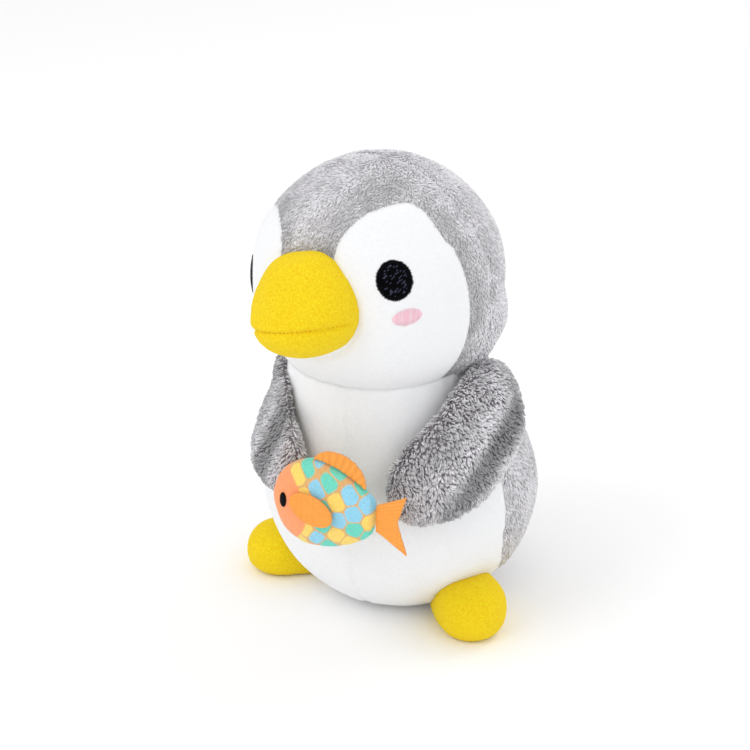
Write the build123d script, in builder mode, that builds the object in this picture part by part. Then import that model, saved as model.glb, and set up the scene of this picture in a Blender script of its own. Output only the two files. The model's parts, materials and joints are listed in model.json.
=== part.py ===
from build123d import *
import os
from math import atan, cos, radians, sin, sqrt

# Plush penguin, about 20 cm tall, hugging a small plush fish. Millimetres, +Z up.
# The penguin faces -Y, its own left side is +X, and the origin is on the floor
# at the middle of the flat base. Covers are thin closed shells around fillings.

os.makedirs("parts", exist_ok=True)

# ---- Driving dimensions ----------------------------------------------------
CLOTH = 1.5            # cover thickness, pile and backing together
GAP = 0.3              # room between a cover and the filling inside it
FIT = 0.6              # room between two pieces that move against each other

# Torso: round rings (height, centre in Y, radius). The chest leans forward.
TORSO_RINGS = [
    (0, 2, 24), (6, 2, 35.5), (20, 1, 47.8), (45, 0.5, 57.2), (75, -4.5, 52), (96, -11, 43), (116, -16.5, 36.5),
]
LOW_RING_Z = 10        # below this the rings lean, and a wall needs more inset
LOW_RING_LEAN = 1.3
SIDE_SEAM_Y = -8       # plane of the two side seams, in front of the middle
BASE_PANEL_R = 32      # round bottom panel
TWIST = 12             # the shoulders are turned this many degrees to the left
CHEST_Y = -9           # centre of the chest, about which the shoulders turn

# Head: a ball on the neck, tilted to the penguin's right.
HEAD_R = 50
HEAD_CENTRE = (0, -16, 147)
HEAD_TILT = 11.5       # degrees
FACE_EDGE_Y = -11      # cheek edge of the white face, in the head's own frame
LOBE_X, LOBE_Z, LOBE_R = 27.5, 20.0, 15.0     # rounded tops of the face panel
PEAK_Z = 17            # lower edge of the grey peak between the lobes
CHEEK = [(41.6, 25.1), (52, 0), (20, 0)]      # straight run of the cheek edge below a lobe
HOOD_SEAM_Y = 3        # seam from ear to ear over the crown
NECK_R = 33            # round plug of filling under the head
NECK_T = 5.7

BEAK_R, BEAK_HALF_L = 20.5, 26.0              # round section and half length of the beak
BEAK_CENTRE_Y, BEAK_CENTRE_Z = -48.0, 1.0
MOUTH_Z = -3.0         # seam between upper and lower beak

EYE_W, EYE_H, EYE_T = 15.0, 17.0, 0.9
EYE_SIDE, EYE_UP = 42, 10                     # degrees from the head's middle
BLUSH_W, BLUSH_H, BLUSH_T = 12.0, 7.5, 0.6
BLUSH_SIDE, BLUSH_DOWN = 44.5, 7

# The chest is nearly a leaning cone from the widest height up: how fast it
# narrows and leans with height, from the ring at CONE_Z.
CONE_Z, CONE_Y, CONE_R = 75, -4.5, 52.0
CONE_TAPER, CONE_LEAN = 0.378, 0.293

# Flippers: padded paddles wrapped on the chest. Each runs from its shoulder
# (degrees round from the front, height) to its tip, and thickens on the way.
# The right one, mirrored into place, is pressed flatter and reaches further forward.
FLIPPERS = {
    "left": {"shoulder": (106, 108), "tip": (37, 74), "width": 45.0, "thick": (12.0, 13.0), "gap": 1.8},
    "right": {"shoulder": (67, 105), "tip": (11, 74), "width": 41.0, "thick": (7.5, 11.0), "gap": 0.7},
}
FLIPPER_OVERHANG = 7.0                        # rounded length past both ends
FLIPPER_STATIONS = 9

# Foot: a flat-soled pad that shows in front of the belly.
FEET_AT = {"left": Vector(43.8, -15.8, 0), "right": Vector(-43.8, -13.8, 0)}
FOOT_YAW = 50                                 # degrees outwards from the front
FOOT_L, FOOT_W, FOOT_H = 45.0, 30.0, 20.0
FOOT_TOP_ROUND, FOOT_SOLE_ROUND = 9.5, 5.5
FOOT_LIFT = 10                                # degrees the foot can fold up
FOOT_HINGE_BACK = 13.0                        # hinge line behind the foot's middle
FOOT_HINGE_Z = 5.0
SOLE_SEAM_Z = 3.0

# Fish: a small pillow with felt fins, tacked to the belly.
FISH_CENTRE = Vector(10.2, -72.5, 71.5)
FISH_YAW = 8                                  # degrees, follows the belly
FISH_PITCH = 2                                # degrees, tail down
FISH_HALF_H, FISH_HALF_T = 18.6, 8.0
FISH_NOSE, FISH_TAIL = -22.8, 22.2            # ends along the body
FISH_DEEPEST = 0.42                           # share of the length where the body is deepest
FISH_TAIL_NARROWING = 0.60
FELT = 1.2
# Fins and eye in the fish's own frame: X to the tail, Y up.
DORSAL_AT, DORSAL_HALF, DORSAL_TURN = (6.5, 13.8), (12.0, 9.8), -24
PECTORAL_AT, PECTORAL_HALF, PECTORAL_TURN = (-0.8, 1.8), (9.5, 6.3), -20
TAIL_L, TAIL_ROOT_HALF, TAIL_NOTCH = 13.5, 5.6, 9.0
TAIL_TOP, TAIL_BOTTOM = 12.0, -13.5
FISH_EYE_AT, FISH_EYE_HALF = (-15.4, 2.0), (1.9, 3.2)
TACK_R = 0.9


def write(piece, label):
    """Label one finished piece and write it as its own file."""
    piece.label = label
    export_step(piece, f"parts/{label}.step")


def torso_solid(inset):
    """The torso's outer form, pulled in by inset all round."""
    with BuildPart() as body:
        for z, y, r in TORSO_RINGS:
            height = inset if z == 0 else z
            with BuildSketch(Plane.XY.offset(height)):
                with Locations((0, y)):
                    Circle(r - inset * (LOW_RING_LEAN if z < LOW_RING_Z else 1.0))
        loft()
    return body.part


def half_space(plane, size=400):
    """A big block on the side of a plane that its normal points to."""
    with BuildPart() as block:
        with BuildSketch(plane):
            Rectangle(size, size)
        extrude(amount=size)
    return block.part


def ball(centre, radius):
    with BuildPart() as sphere:
        with Locations(centre):
            Sphere(radius)
    return sphere.part


def ellipsoid(half_x, half_y, half_z):
    """An ellipsoid about the origin, its widest plane square to Z."""
    with BuildPart() as egg:
        with BuildSketch(Plane.XZ):
            Circle(1)
            with Locations((-1, 0)):
                Rectangle(2, 2, mode=Mode.SUBTRACT)
        revolve(axis=Axis.Z)
        scale(by=(half_x, half_y, half_z))
    return egg.part


# ---- Torso -----------------------------------------------------------------
seat = ball(HEAD_CENTRE, HEAD_R + FIT)
torso_outer = torso_solid(0)
torso_cavity = torso_solid(CLOTH)
shoulder_line = (cos(radians(TWIST)), sin(radians(TWIST)), 0)
front_seam = Plane(origin=(0, CHEST_Y, 0), x_dir=(0, 0, 1), z_dir=shoulder_line)
front_side = Plane(origin=(0, SIDE_SEAM_Y, 0), x_dir=(1, 0, 0), z_dir=(0, -1, 0))
back_side = Plane(origin=(0, SIDE_SEAM_Y, 0), x_dir=(1, 0, 0), z_dir=(0, 1, 0))
left_side = Plane(origin=(0, 0, 0), x_dir=(0, 1, 0), z_dir=(1, 0, 0))

with BuildPart() as cover:
    add(torso_outer)
    add(torso_cavity, mode=Mode.SUBTRACT)
    add(seat, mode=Mode.SUBTRACT)

with BuildPart() as base_tool:
    Cylinder(BASE_PANEL_R, 20)

with BuildPart() as base_panel:
    add(cover.part)
    add(base_tool.part, mode=Mode.INTERSECT)
write(base_panel.part, "base_panel")

QUARTERS = {
    "body_front_left": (front_side, front_seam),
    "body_front_right": (front_side, -front_seam),
    "body_back_left": (back_side, left_side),
    "body_back_right": (back_side, -left_side),
}
for label, planes in QUARTERS.items():
    with BuildPart() as quarter:
        add(cover.part)
        add(base_tool.part, mode=Mode.SUBTRACT)
        for plane in planes:
            add(half_space(plane), mode=Mode.INTERSECT)
    write(quarter.part, label)

# Bean bag low in the torso, a round pouch of pellets that keeps the toy upright.
BEAN_R, BEAN_H, BEAN_AT, BEAN_SKIN = 29.0, 8.5, Vector(0, 2.5, 14), 0.8
with BuildPart() as pouch:
    with Locations(BEAN_AT):
        add(ellipsoid(BEAN_R, BEAN_R, BEAN_H))
        add(ellipsoid(BEAN_R - BEAN_SKIN, BEAN_R - BEAN_SKIN, BEAN_H - BEAN_SKIN), mode=Mode.SUBTRACT)
write(pouch.part, "bean_bag")

with BuildPart() as pellets:
    inset = BEAN_SKIN + GAP
    with Locations(BEAN_AT):
        add(ellipsoid(BEAN_R - inset, BEAN_R - inset, BEAN_H - inset))
write(pellets.part, "bean_pellets")

with BuildPart() as body_filling:
    add(torso_solid(CLOTH + GAP))
    add(ball(HEAD_CENTRE, HEAD_R + FIT + NECK_T + FIT), mode=Mode.SUBTRACT)
    with Locations(BEAN_AT):
        add(ellipsoid(BEAN_R + GAP, BEAN_R + GAP, BEAN_H + GAP), mode=Mode.SUBTRACT)
write(body_filling.part, "body_filling")

# ---- Neck: a bowl of filling between the torso and the head ------------------
with BuildPart() as neck_filling:
    add(ball(HEAD_CENTRE, HEAD_R + FIT + NECK_T))
    add(seat, mode=Mode.SUBTRACT)
    with Locations((HEAD_CENTRE[0], HEAD_CENTRE[1], HEAD_CENTRE[2] - HEAD_R)):
        Cylinder(NECK_R, HEAD_R, mode=Mode.INTERSECT)
write(neck_filling.part, "neck_filling")

# ---- Head ------------------------------------------------------------------
tilt = radians(HEAD_TILT)
HEAD = Plane(origin=HEAD_CENTRE, x_dir=(cos(tilt), 0, sin(tilt)), z_dir=(-sin(tilt), 0, cos(tilt)))


def in_head(piece):
    """Move a piece made about the origin into the tilted head."""
    return HEAD.location * piece


def head_shell(outer, inner):
    with BuildPart() as shell:
        Sphere(outer)
        Sphere(inner, mode=Mode.SUBTRACT)
    return shell.part


# White face: everything in front of the cheek edge and inside the lobed outline.
FACE_SIDE = Plane(origin=(0, FACE_EDGE_Y, 0), x_dir=(1, 0, 0), z_dir=(0, -1, 0))
with BuildPart() as face_tool:
    with BuildSketch(FACE_SIDE):
        with Locations((0, PEAK_Z - 60)):
            Rectangle(160, 120)
        with Locations((LOBE_X, LOBE_Z), (-LOBE_X, LOBE_Z)):
            Circle(LOBE_R)
        for side in (1, -1):
            Polygon(*[(side * x, z) for x, z in CHEEK], align=None)
    extrude(amount=80)


def beak_solid(inset):
    """The beak's rounded form, open side against the face."""
    with BuildPart() as beak:
        with BuildSketch(Plane.XY):
            Ellipse(BEAK_R - inset, BEAK_HALF_L - inset)
            with Locations((-50, 0)):
                Rectangle(100, 100, mode=Mode.SUBTRACT)
        revolve(axis=Axis.Y)
    placed = Location((0, BEAK_CENTRE_Y, BEAK_CENTRE_Z)) * beak.part
    with BuildPart() as cut:
        add(placed)
        Sphere(HEAD_R + 0.1, mode=Mode.SUBTRACT)
    return cut.part


with BuildPart() as face_panel:
    add(head_shell(HEAD_R, HEAD_R - CLOTH))
    add(face_tool.part, mode=Mode.INTERSECT)
write(in_head(face_panel.part), "face_panel")

CROWN = Plane(origin=(0, HOOD_SEAM_Y, 0), x_dir=(1, 0, 0), z_dir=(0, 1, 0))
with BuildPart() as hood_front:
    add(head_shell(HEAD_R, HEAD_R - CLOTH))
    add(face_tool.part, mode=Mode.SUBTRACT)
    add(half_space(CROWN), mode=Mode.SUBTRACT)
write(in_head(hood_front.part), "hood_front")

for label, side in (("hood_back_left", left_side), ("hood_back_right", -left_side)):
    with BuildPart() as hood_back:
        add(head_shell(HEAD_R, HEAD_R - CLOTH))
        add(half_space(CROWN), mode=Mode.INTERSECT)
        add(half_space(side), mode=Mode.INTERSECT)
    write(in_head(hood_back.part), label)

write(in_head(ball((0, 0, 0), HEAD_R - CLOTH - GAP)), "head_filling")

MOUTH = Plane(origin=(0, 0, MOUTH_Z), x_dir=(1, 0, 0), z_dir=(0, 0, 1))
for label, side in (("beak_upper", MOUTH), ("beak_lower", -MOUTH)):
    with BuildPart() as beak_half:
        add(beak_solid(0))
        add(beak_solid(CLOTH), mode=Mode.SUBTRACT)
        add(half_space(side), mode=Mode.INTERSECT)
    write(in_head(beak_half.part), label)
write(in_head(beak_solid(CLOTH + GAP)), "beak_filling")


def patch(side, up, width, height, thickness, slant):
    """A thin oval of embroidery that lies on the head's surface."""
    side, up = radians(side), radians(up)
    out = Vector(sin(side) * cos(up), -cos(side) * cos(up), sin(up))
    across = Vector(cos(side), sin(side), 0)
    plane = Plane(origin=out * (HEAD_R - 8), x_dir=across, z_dir=out)
    with BuildPart() as oval:
        with BuildSketch(plane):
            Ellipse(width / 2, height / 2, rotation=slant)
        extrude(amount=20)
        add(head_shell(HEAD_R + 0.02 + thickness, HEAD_R + 0.02), mode=Mode.INTERSECT)
    return oval.part


for name, sign in (("left", 1), ("right", -1)):
    write(in_head(patch(sign * EYE_SIDE, EYE_UP, EYE_W, EYE_H, EYE_T, 0)), f"eye_{name}")
    blush = patch(sign * BLUSH_SIDE, -BLUSH_DOWN, BLUSH_W, BLUSH_H, BLUSH_T, sign * 12)
    write(in_head(blush), f"blush_{name}")

# ---- Flippers --------------------------------------------------------------
def on_chest(around, height, off):
    """A point off the chest's surface, around radians from the front."""
    radius = CONE_R - (height - CONE_Z) * CONE_TAPER + off
    middle_y = CONE_Y - (height - CONE_Z) * CONE_LEAN
    return Vector(radius * sin(around), middle_y - radius * cos(around), height)


def flipper_station(shape, s):
    """Plane square to a flipper's middle line, and its thickness, at s from shoulder 0 to tip 1."""
    (a0, z0), (a1, z1) = shape["shoulder"], shape["tip"]
    t0, t1 = shape["thick"]
    thick = t0 + (t1 - t0) * min(max(s, 0), 1)

    def middle(k):
        return on_chest(radians(a0 + (a1 - a0) * k), z0 + (z1 - z0) * k, thick / 2 + shape["gap"])

    around = radians(a0 + (a1 - a0) * s)
    along = (middle(s + 0.001) - middle(s - 0.001)).normalized()
    lean = atan(CONE_TAPER - CONE_LEAN * cos(around))
    out = Vector(sin(around) * cos(lean), -cos(around) * cos(lean), sin(lean))
    out = (out - along * out.dot(along)).normalized()
    return Plane(origin=middle(s), x_dir=out, z_dir=along), thick


def flipper_stations(shape, inset):
    """Planes along a flipper with its thickness and how full it is at each."""
    length = (flipper_station(shape, 1)[0].origin - flipper_station(shape, 0)[0].origin).length * 1.08
    reach = 0.5 + (FLIPPER_OVERHANG - inset) / length
    for i in range(FLIPPER_STATIONS):
        place = sin(radians(86 * (-1 + 2 * i / (FLIPPER_STATIONS - 1))))
        plane, thick = flipper_station(shape, 0.5 + place * reach)
        yield plane, thick, sqrt(1 - abs(place) ** 3)


def flipper_solid(shape, inset):
    """Paddle of oval sections, each smaller towards the rounded ends."""
    with BuildPart() as paddle:
        for plane, thick, full in flipper_stations(shape, inset):
            with BuildSketch(plane):
                half_thick = (thick / 2 - inset) * full ** 0.8
                half_width = (shape["width"] / 2 - inset) * full
                Ellipse(half_thick + 0.1, half_width + 0.1)
        loft()
    return paddle.part


def flipper_chest_side(shape):
    """Everything on the chest side of a flipper's edge seam."""
    with BuildPart() as block:
        for plane, _, _ in flipper_stations(shape, -3):
            with BuildSketch(plane):
                with Locations((-7.5, 0)):
                    Rectangle(15, 60)
        loft()
    return block.part


def flipper_panel(shape, chest_side):
    with BuildPart() as panel:
        add(flipper_solid(shape, 0))
        add(flipper_solid(shape, CLOTH), mode=Mode.SUBTRACT)
        add(flipper_chest_side(shape), mode=Mode.INTERSECT if chest_side else Mode.SUBTRACT)
    return panel.part


for side, shape in FLIPPERS.items():
    pieces = {
        "outer": flipper_panel(shape, False),
        "inner": flipper_panel(shape, True),
        "filling": flipper_solid(shape, CLOTH + GAP),
    }
    for kind, piece in pieces.items():
        write(piece.mirror(Plane.YZ) if side == "right" else piece, f"flipper_{side}_{kind}")

# ---- Feet ------------------------------------------------------------------
def foot_pad(inset):
    """A flat-soled, rounded pad about the origin, toes towards -Y."""
    with BuildPart() as pad:
        with BuildSketch(Plane.XY.offset(inset)):
            RectangleRounded(FOOT_W - 2 * inset, FOOT_L - 2 * inset, FOOT_W / 2 - inset - 0.05)
        extrude(amount=FOOT_H - 2 * inset)
        fillet(pad.faces().sort_by(Axis.Z)[-1].edges(), FOOT_TOP_ROUND - inset)
        fillet(pad.faces().sort_by(Axis.Z)[0].edges(), FOOT_SOLE_ROUND - inset)
    return pad.part


def foot_piece(kind, frame, belly):
    """One piece of a foot, cut back to clear the belly when the foot folds up."""
    seam = Plane.XY.offset(SOLE_SEAM_Z)
    with BuildPart() as piece:
        if kind == "filling":
            add(frame.location * foot_pad(CLOTH + GAP))
        else:
            add(frame.location * foot_pad(0))
            add(frame.location * foot_pad(CLOTH), mode=Mode.SUBTRACT)
            add(half_space(seam if kind == "top" else -seam), mode=Mode.INTERSECT)
        for form in belly:
            add(form, mode=Mode.SUBTRACT)
    return piece.part


torso_clear = torso_solid(-FIT)
for side, sign in (("left", 1), ("right", -1)):
    angle = radians(sign * FOOT_YAW)
    frame = Plane(origin=FEET_AT[side], x_dir=(cos(angle), sin(angle), 0), z_dir=(0, 0, 1))
    hinge = Axis(frame.from_local_coords(Vector(0, FOOT_HINGE_BACK, FOOT_HINGE_Z)), frame.x_dir)
    belly = (torso_clear, torso_clear.rotate(hinge, FOOT_LIFT))
    for kind in ("top", "sole", "filling"):
        write(foot_piece(kind, frame, belly), f"foot_{side}_{kind}")

# ---- Fish ------------------------------------------------------------------
# Own frame: X runs from nose to tail, Y goes up the flank, Z points away from the belly.
yaw, pitch = radians(FISH_YAW), radians(FISH_PITCH)
fish_out = Vector(sin(yaw), -cos(yaw), 0)
fish_along = Vector(cos(yaw) * cos(pitch), sin(yaw) * cos(pitch), -sin(pitch))
FISH = Plane(origin=FISH_CENTRE, x_dir=fish_along, z_dir=fish_out)


def in_fish(piece):
    return FISH.location * piece


def fish_solid(inset):
    """Round at the nose, deepest before the middle, narrow at the tail."""
    nose, tail = FISH_NOSE + inset, FISH_TAIL - inset
    with BuildPart() as body:
        for t in (0.01, 0.08, 0.22, 0.42, 0.62, 0.80, 0.93, 1.0):
            x = nose + (tail - nose) * t
            if t < FISH_DEEPEST:
                fullness = sqrt(1 - (1 - t / FISH_DEEPEST) ** 2)
            else:
                fullness = 1 - FISH_TAIL_NARROWING * ((t - FISH_DEEPEST) / (1 - FISH_DEEPEST)) ** 1.9
            with BuildSketch(Plane(origin=(x, 0.6 * (1 - t), 0), x_dir=(0, 1, 0), z_dir=(1, 0, 0))):
                Ellipse((FISH_HALF_H - inset) * fullness, (FISH_HALF_T - inset) * fullness ** 0.9)
        loft()
    return body.part


fish_body = fish_solid(0)
fish_cavity = fish_solid(CLOTH)
MIDPLANE = Plane.XY
for label, side in (("fish_outer_panel", MIDPLANE), ("fish_inner_panel", -MIDPLANE)):
    with BuildPart() as fish_panel:
        add(fish_body)
        add(fish_cavity, mode=Mode.SUBTRACT)
        add(half_space(side), mode=Mode.INTERSECT)
    write(in_fish(fish_panel.part), label)
write(in_fish(fish_solid(CLOTH + GAP)), "fish_filling")

with BuildPart() as dorsal_fin:
    with BuildSketch(Plane.XY.offset(-FELT / 2)):
        with Locations(DORSAL_AT):
            Ellipse(*DORSAL_HALF, rotation=DORSAL_TURN)
    extrude(amount=FELT)
    add(fish_solid(-0.1), mode=Mode.SUBTRACT)
write(in_fish(dorsal_fin.part.solids().sort_by(Axis.Y)[-1]), "fish_dorsal_fin")

TAIL_ROOT_X = FISH_TAIL + 0.4
with BuildPart() as tail_fin:
    with BuildSketch(Plane.XY.offset(-FELT / 2)):
        with BuildLine():
            Polyline(
                (TAIL_ROOT_X, -TAIL_ROOT_HALF), (TAIL_ROOT_X, TAIL_ROOT_HALF), (TAIL_ROOT_X + TAIL_L - 1, TAIL_TOP),
                (TAIL_ROOT_X + TAIL_NOTCH, 0), (TAIL_ROOT_X + TAIL_L, TAIL_BOTTOM), close=True)
        make_face()
    extrude(amount=FELT)
write(in_fish(tail_fin.part), "fish_tail_fin")

with BuildPart() as pectoral_fin:
    with BuildSketch(Plane.XY.offset(FISH_HALF_T + 0.4)):
        with Locations(PECTORAL_AT):
            Ellipse(*PECTORAL_HALF, rotation=PECTORAL_TURN)
    extrude(amount=FELT)
write(in_fish(pectoral_fin.part), "fish_pectoral_fin")

with BuildPart() as fish_eye:
    with BuildSketch(Plane.XY):
        with Locations(FISH_EYE_AT):
            Ellipse(*FISH_EYE_HALF)
    extrude(amount=20)
    add(fish_solid(-0.6), mode=Mode.INTERSECT)
    add(fish_solid(-0.03), mode=Mode.SUBTRACT)
write(in_fish(fish_eye.part), "fish_eye")

with BuildPart() as tack:
    with BuildSketch(Plane.XY.offset(-FISH_HALF_T - 6)):
        Circle(TACK_R)
    extrude(amount=10)
    add(fish_solid(-0.05), mode=Mode.SUBTRACT)
with BuildPart() as fish_tack:
    add(in_fish(tack.part))
    add(torso_solid(-0.3), mode=Mode.SUBTRACT)
write(fish_tack.part.solids().sort_by(Axis.Y)[0], "fish_tack")
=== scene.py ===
"""Plush penguin holding a small plush fish: the visual model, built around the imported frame.

Lengths are in metres. The penguin faces -Y, its own left is +X, +Z is up.
"""
import json
from math import cos, pi, radians, sin, sqrt
import bmesh
import bpy
import numpy as np
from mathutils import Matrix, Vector
from mathutils.bvhtree import BVHTree


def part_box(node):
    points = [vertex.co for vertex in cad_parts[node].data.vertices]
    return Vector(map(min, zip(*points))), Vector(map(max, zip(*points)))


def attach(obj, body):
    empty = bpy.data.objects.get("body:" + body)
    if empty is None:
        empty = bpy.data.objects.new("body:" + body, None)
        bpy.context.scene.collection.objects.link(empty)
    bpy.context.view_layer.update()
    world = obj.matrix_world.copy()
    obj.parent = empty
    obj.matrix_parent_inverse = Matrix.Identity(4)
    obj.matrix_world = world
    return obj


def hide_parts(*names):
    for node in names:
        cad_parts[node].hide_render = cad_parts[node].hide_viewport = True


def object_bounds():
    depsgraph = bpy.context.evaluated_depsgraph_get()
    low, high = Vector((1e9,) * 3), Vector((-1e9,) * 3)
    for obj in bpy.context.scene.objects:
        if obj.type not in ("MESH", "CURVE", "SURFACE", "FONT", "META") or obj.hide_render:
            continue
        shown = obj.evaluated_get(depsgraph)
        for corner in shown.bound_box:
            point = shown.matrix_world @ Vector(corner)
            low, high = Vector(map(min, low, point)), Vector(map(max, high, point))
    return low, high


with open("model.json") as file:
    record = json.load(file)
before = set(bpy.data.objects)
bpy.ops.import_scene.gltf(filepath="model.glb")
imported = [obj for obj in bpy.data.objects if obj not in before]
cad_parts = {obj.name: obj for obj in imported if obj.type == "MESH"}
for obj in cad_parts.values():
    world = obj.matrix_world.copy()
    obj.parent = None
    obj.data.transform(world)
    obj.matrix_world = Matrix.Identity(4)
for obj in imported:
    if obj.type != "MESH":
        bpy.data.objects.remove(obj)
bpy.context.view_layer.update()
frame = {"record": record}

MM = 0.001
UP = np.array([0.0, 0.0, 1.0])
DOWN = -UP
SIDES = (("left", 1), ("right", -1))
JOINTS = {joint["name"]: joint for joint in frame["record"]["behaviour"]["joints"]}


# ---- Vectors, frames and noise ----
def unit(v):
    v = np.asarray(v, float)
    return v / np.maximum(np.linalg.norm(v, axis=-1, keepdims=True), 1e-12)


def turns_of(count):
    """Even steps of one full turn."""
    return np.arange(count) / count * 2 * pi


def smooth(value, low, high):
    """0 below low, 1 above high, and a smooth step between."""
    t = np.clip((value - low) / (high - low), 0, 1)
    return t * t * (3 - 2 * t)


def groove(distance, width):
    """1 on a seam line, fading to 0 over about its width on both sides."""
    return np.exp(-((distance / width) ** 2))


def lumps(points, wavelength, seed):
    """Soft unevenness, about -1 to 1: a few plane waves in fixed random directions."""
    waves, share = 9, 1 / 4
    rng = np.random.default_rng(seed)
    total = np.zeros(len(points))
    for _ in range(waves):
        direction = unit(rng.normal(size=3))
        pitch = wavelength * rng.uniform(0.6, 1.5)
        total += np.sin(points @ direction * 2 * pi / pitch + rng.uniform(0, 6.28))
    return total * share


class Local:
    """A frame of its own for a part: an origin and three unit axes, in the row frame."""

    def __init__(self, origin, x, y, z):
        self.origin = np.array(origin, float)
        self.axes = unit(np.array([x, y, z], float))

    def out(self, points):
        return self.origin + np.asarray(points, float) @ self.axes

    def into(self, points):
        return (np.asarray(points, float) - self.origin) @ self.axes.T


def fetched(elements, attribute, width, kind=float):
    """One attribute of all of a mesh's elements, as rows of width numbers."""
    flat = np.empty(len(elements) * width, kind)
    elements.foreach_get(attribute, flat)
    return flat.reshape(-1, width)


def cad_points(*nodes):
    """All vertices of some CAD nodes, in the row frame."""
    return np.concatenate([fetched(bpy.data.objects[node].data.vertices, "co", 3) for node in nodes])


def cad_surface(nodes, local=None):
    """A tree of some CAD nodes' faces for casting rays, in the row frame or a local one."""
    points, faces, start = [], [], 0
    for node in nodes:
        mesh = bpy.data.objects[node].data
        co = cad_points(node)
        points.append(local.into(co) if local else co)
        faces += [tuple(v + start for v in face.vertices) for face in mesh.polygons]
        start += len(co)
    return BVHTree.FromPolygons(np.concatenate(points).tolist(), faces)


# ---- Meshes ----
def in_scene(name, data):
    """A new object of the scene."""
    thing = bpy.data.objects.new(name, data)
    bpy.context.scene.collection.objects.link(thing)
    return thing


def new_piece(name, points, face_sets, materials, face_material=None):
    """A smooth-shaded mesh object from points and arrays of faces with equal corners."""
    sizes = np.concatenate([np.full(len(f), f.shape[1]) for f in face_sets])
    loops = np.concatenate([f.ravel() for f in face_sets])
    mesh = bpy.data.meshes.new(name)
    mesh.vertices.add(len(points))
    mesh.vertices.foreach_set("co", np.asarray(points, np.float32).ravel())
    mesh.loops.add(len(loops))
    mesh.loops.foreach_set("vertex_index", loops.astype(np.int32))
    mesh.polygons.add(len(sizes))
    starts = np.concatenate([[0], np.cumsum(sizes)[:-1]])
    mesh.polygons.foreach_set("loop_start", starts.astype(np.int32))
    for material in materials:
        mesh.materials.append(material)
    if face_material is not None:
        mesh.polygons.foreach_set("material_index", face_material.astype(np.int32))
    mesh.polygons.foreach_set("use_smooth", np.ones(len(sizes), bool))
    mesh.update(calc_edges=True)
    mesh.validate()
    return in_scene(name, mesh)


def grid_faces(rows, columns, wrap=False):
    """Quads of a grid of points stored row after row; wrap closes each row on itself."""
    across = columns if wrap else columns - 1
    r, c = np.meshgrid(np.arange(rows - 1), np.arange(across), indexing="ij")
    a, b = r * columns + c, r * columns + (c + 1) % columns
    return np.stack([a, b, b + columns, a + columns], -1).reshape(-1, 4)


def arrays(piece):
    """A piece's points and vertex normals."""
    return fetched(piece.data.vertices, "co", 3), fetched(piece.data.vertex_normals, "vector", 3)


def set_points(piece, points):
    piece.data.vertices.foreach_set("co", np.asarray(points, np.float32).ravel())
    piece.data.update()


def applied(piece):
    """Replace a piece's mesh by what its modifiers make of it."""
    graph = bpy.context.evaluated_depsgraph_get()
    mesh = bpy.data.meshes.new_from_object(piece.evaluated_get(graph), depsgraph=graph)
    piece.modifiers.clear()
    piece.data = mesh
    return piece


def remeshed_copy(name, node, voxel):
    """An even copy of one closed CAD solid."""
    piece = in_scene(name, bpy.data.objects[node].data.copy())
    remesh = piece.modifiers.new("even", "REMESH")
    remesh.mode = "VOXEL"
    remesh.voxel_size = voxel
    applied(piece)
    piece.data.materials.clear()
    piece.data.polygons.foreach_set("use_smooth", np.ones(len(piece.data.polygons), bool))
    return piece


def relax(piece, steps, factor=0.5):
    """Smooth a mesh by moving each point towards the middle of its neighbours."""
    a, b = fetched(piece.data.edges, "vertices", 2, np.int32).T
    points, _ = arrays(piece)
    count = np.bincount(a, minlength=len(points)) + np.bincount(b, minlength=len(points))
    for _ in range(steps):
        total = np.zeros_like(points)
        for axis in range(3):
            total[:, axis] += np.bincount(a, points[b, axis], len(points))
            total[:, axis] += np.bincount(b, points[a, axis], len(points))
        points += factor * (total / count[:, None] - points)
    set_points(piece, points)


def dress(piece, body, nodes=()):
    """Hang a finished piece on the body it rides on, and hide the CAD nodes that it stands for."""
    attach(piece, body)
    if nodes:
        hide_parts(*nodes)
    return piece


# ---- Materials ----
def settle(node, **values):
    """Set a shader node's sockets; an underscore stands for a space in a socket's name."""
    for socket, value in values.items():
        node.inputs[socket.replace("_", " ")].default_value = value


def noise_node(material, size, detail, roughness):
    """A noise texture that sticks to the piece."""
    nodes = material.node_tree.nodes
    place, noise = nodes.new("ShaderNodeTexCoord"), nodes.new("ShaderNodeTexNoise")
    settle(noise, Scale=1 / size, Detail=detail, Roughness=roughness)
    material.node_tree.links.new(place.outputs["Object"], noise.inputs["Vector"])
    return noise


def cloth_material(name, colour, rough=0.9, sheen=0.3, grain=0.0, grain_size=0.4 * MM, tint=None,
                   subsurface=0.0, gloss=0.15):
    """Cloth or thread: constant finish, and where grain is given a fine bump of fibres."""
    material = bpy.data.materials.new(name)
    material.use_nodes = True
    nodes, links = material.node_tree.nodes, material.node_tree.links
    shader = nodes["Principled BSDF"]
    settle(shader, Base_Color=(*colour, 1), Roughness=rough, Specular_IOR_Level=gloss,
           Sheen_Weight=sheen, Sheen_Roughness=0.5, Sheen_Tint=(*(tint or colour), 1))
    if subsurface:
        settle(shader, Subsurface_Weight=subsurface, Subsurface_Radius=(1, 1, 1), Subsurface_Scale=1.5 * MM)
    if grain:
        fibres = noise_node(material, grain_size, detail=3, roughness=0.65)
        bump = nodes.new("ShaderNodeBump")
        settle(bump, Strength=grain, Distance=grain_size)
        links.new(fibres.outputs["Fac"], bump.inputs["Height"])
        links.new(bump.outputs["Normal"], shader.inputs["Normal"])
    return material


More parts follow.
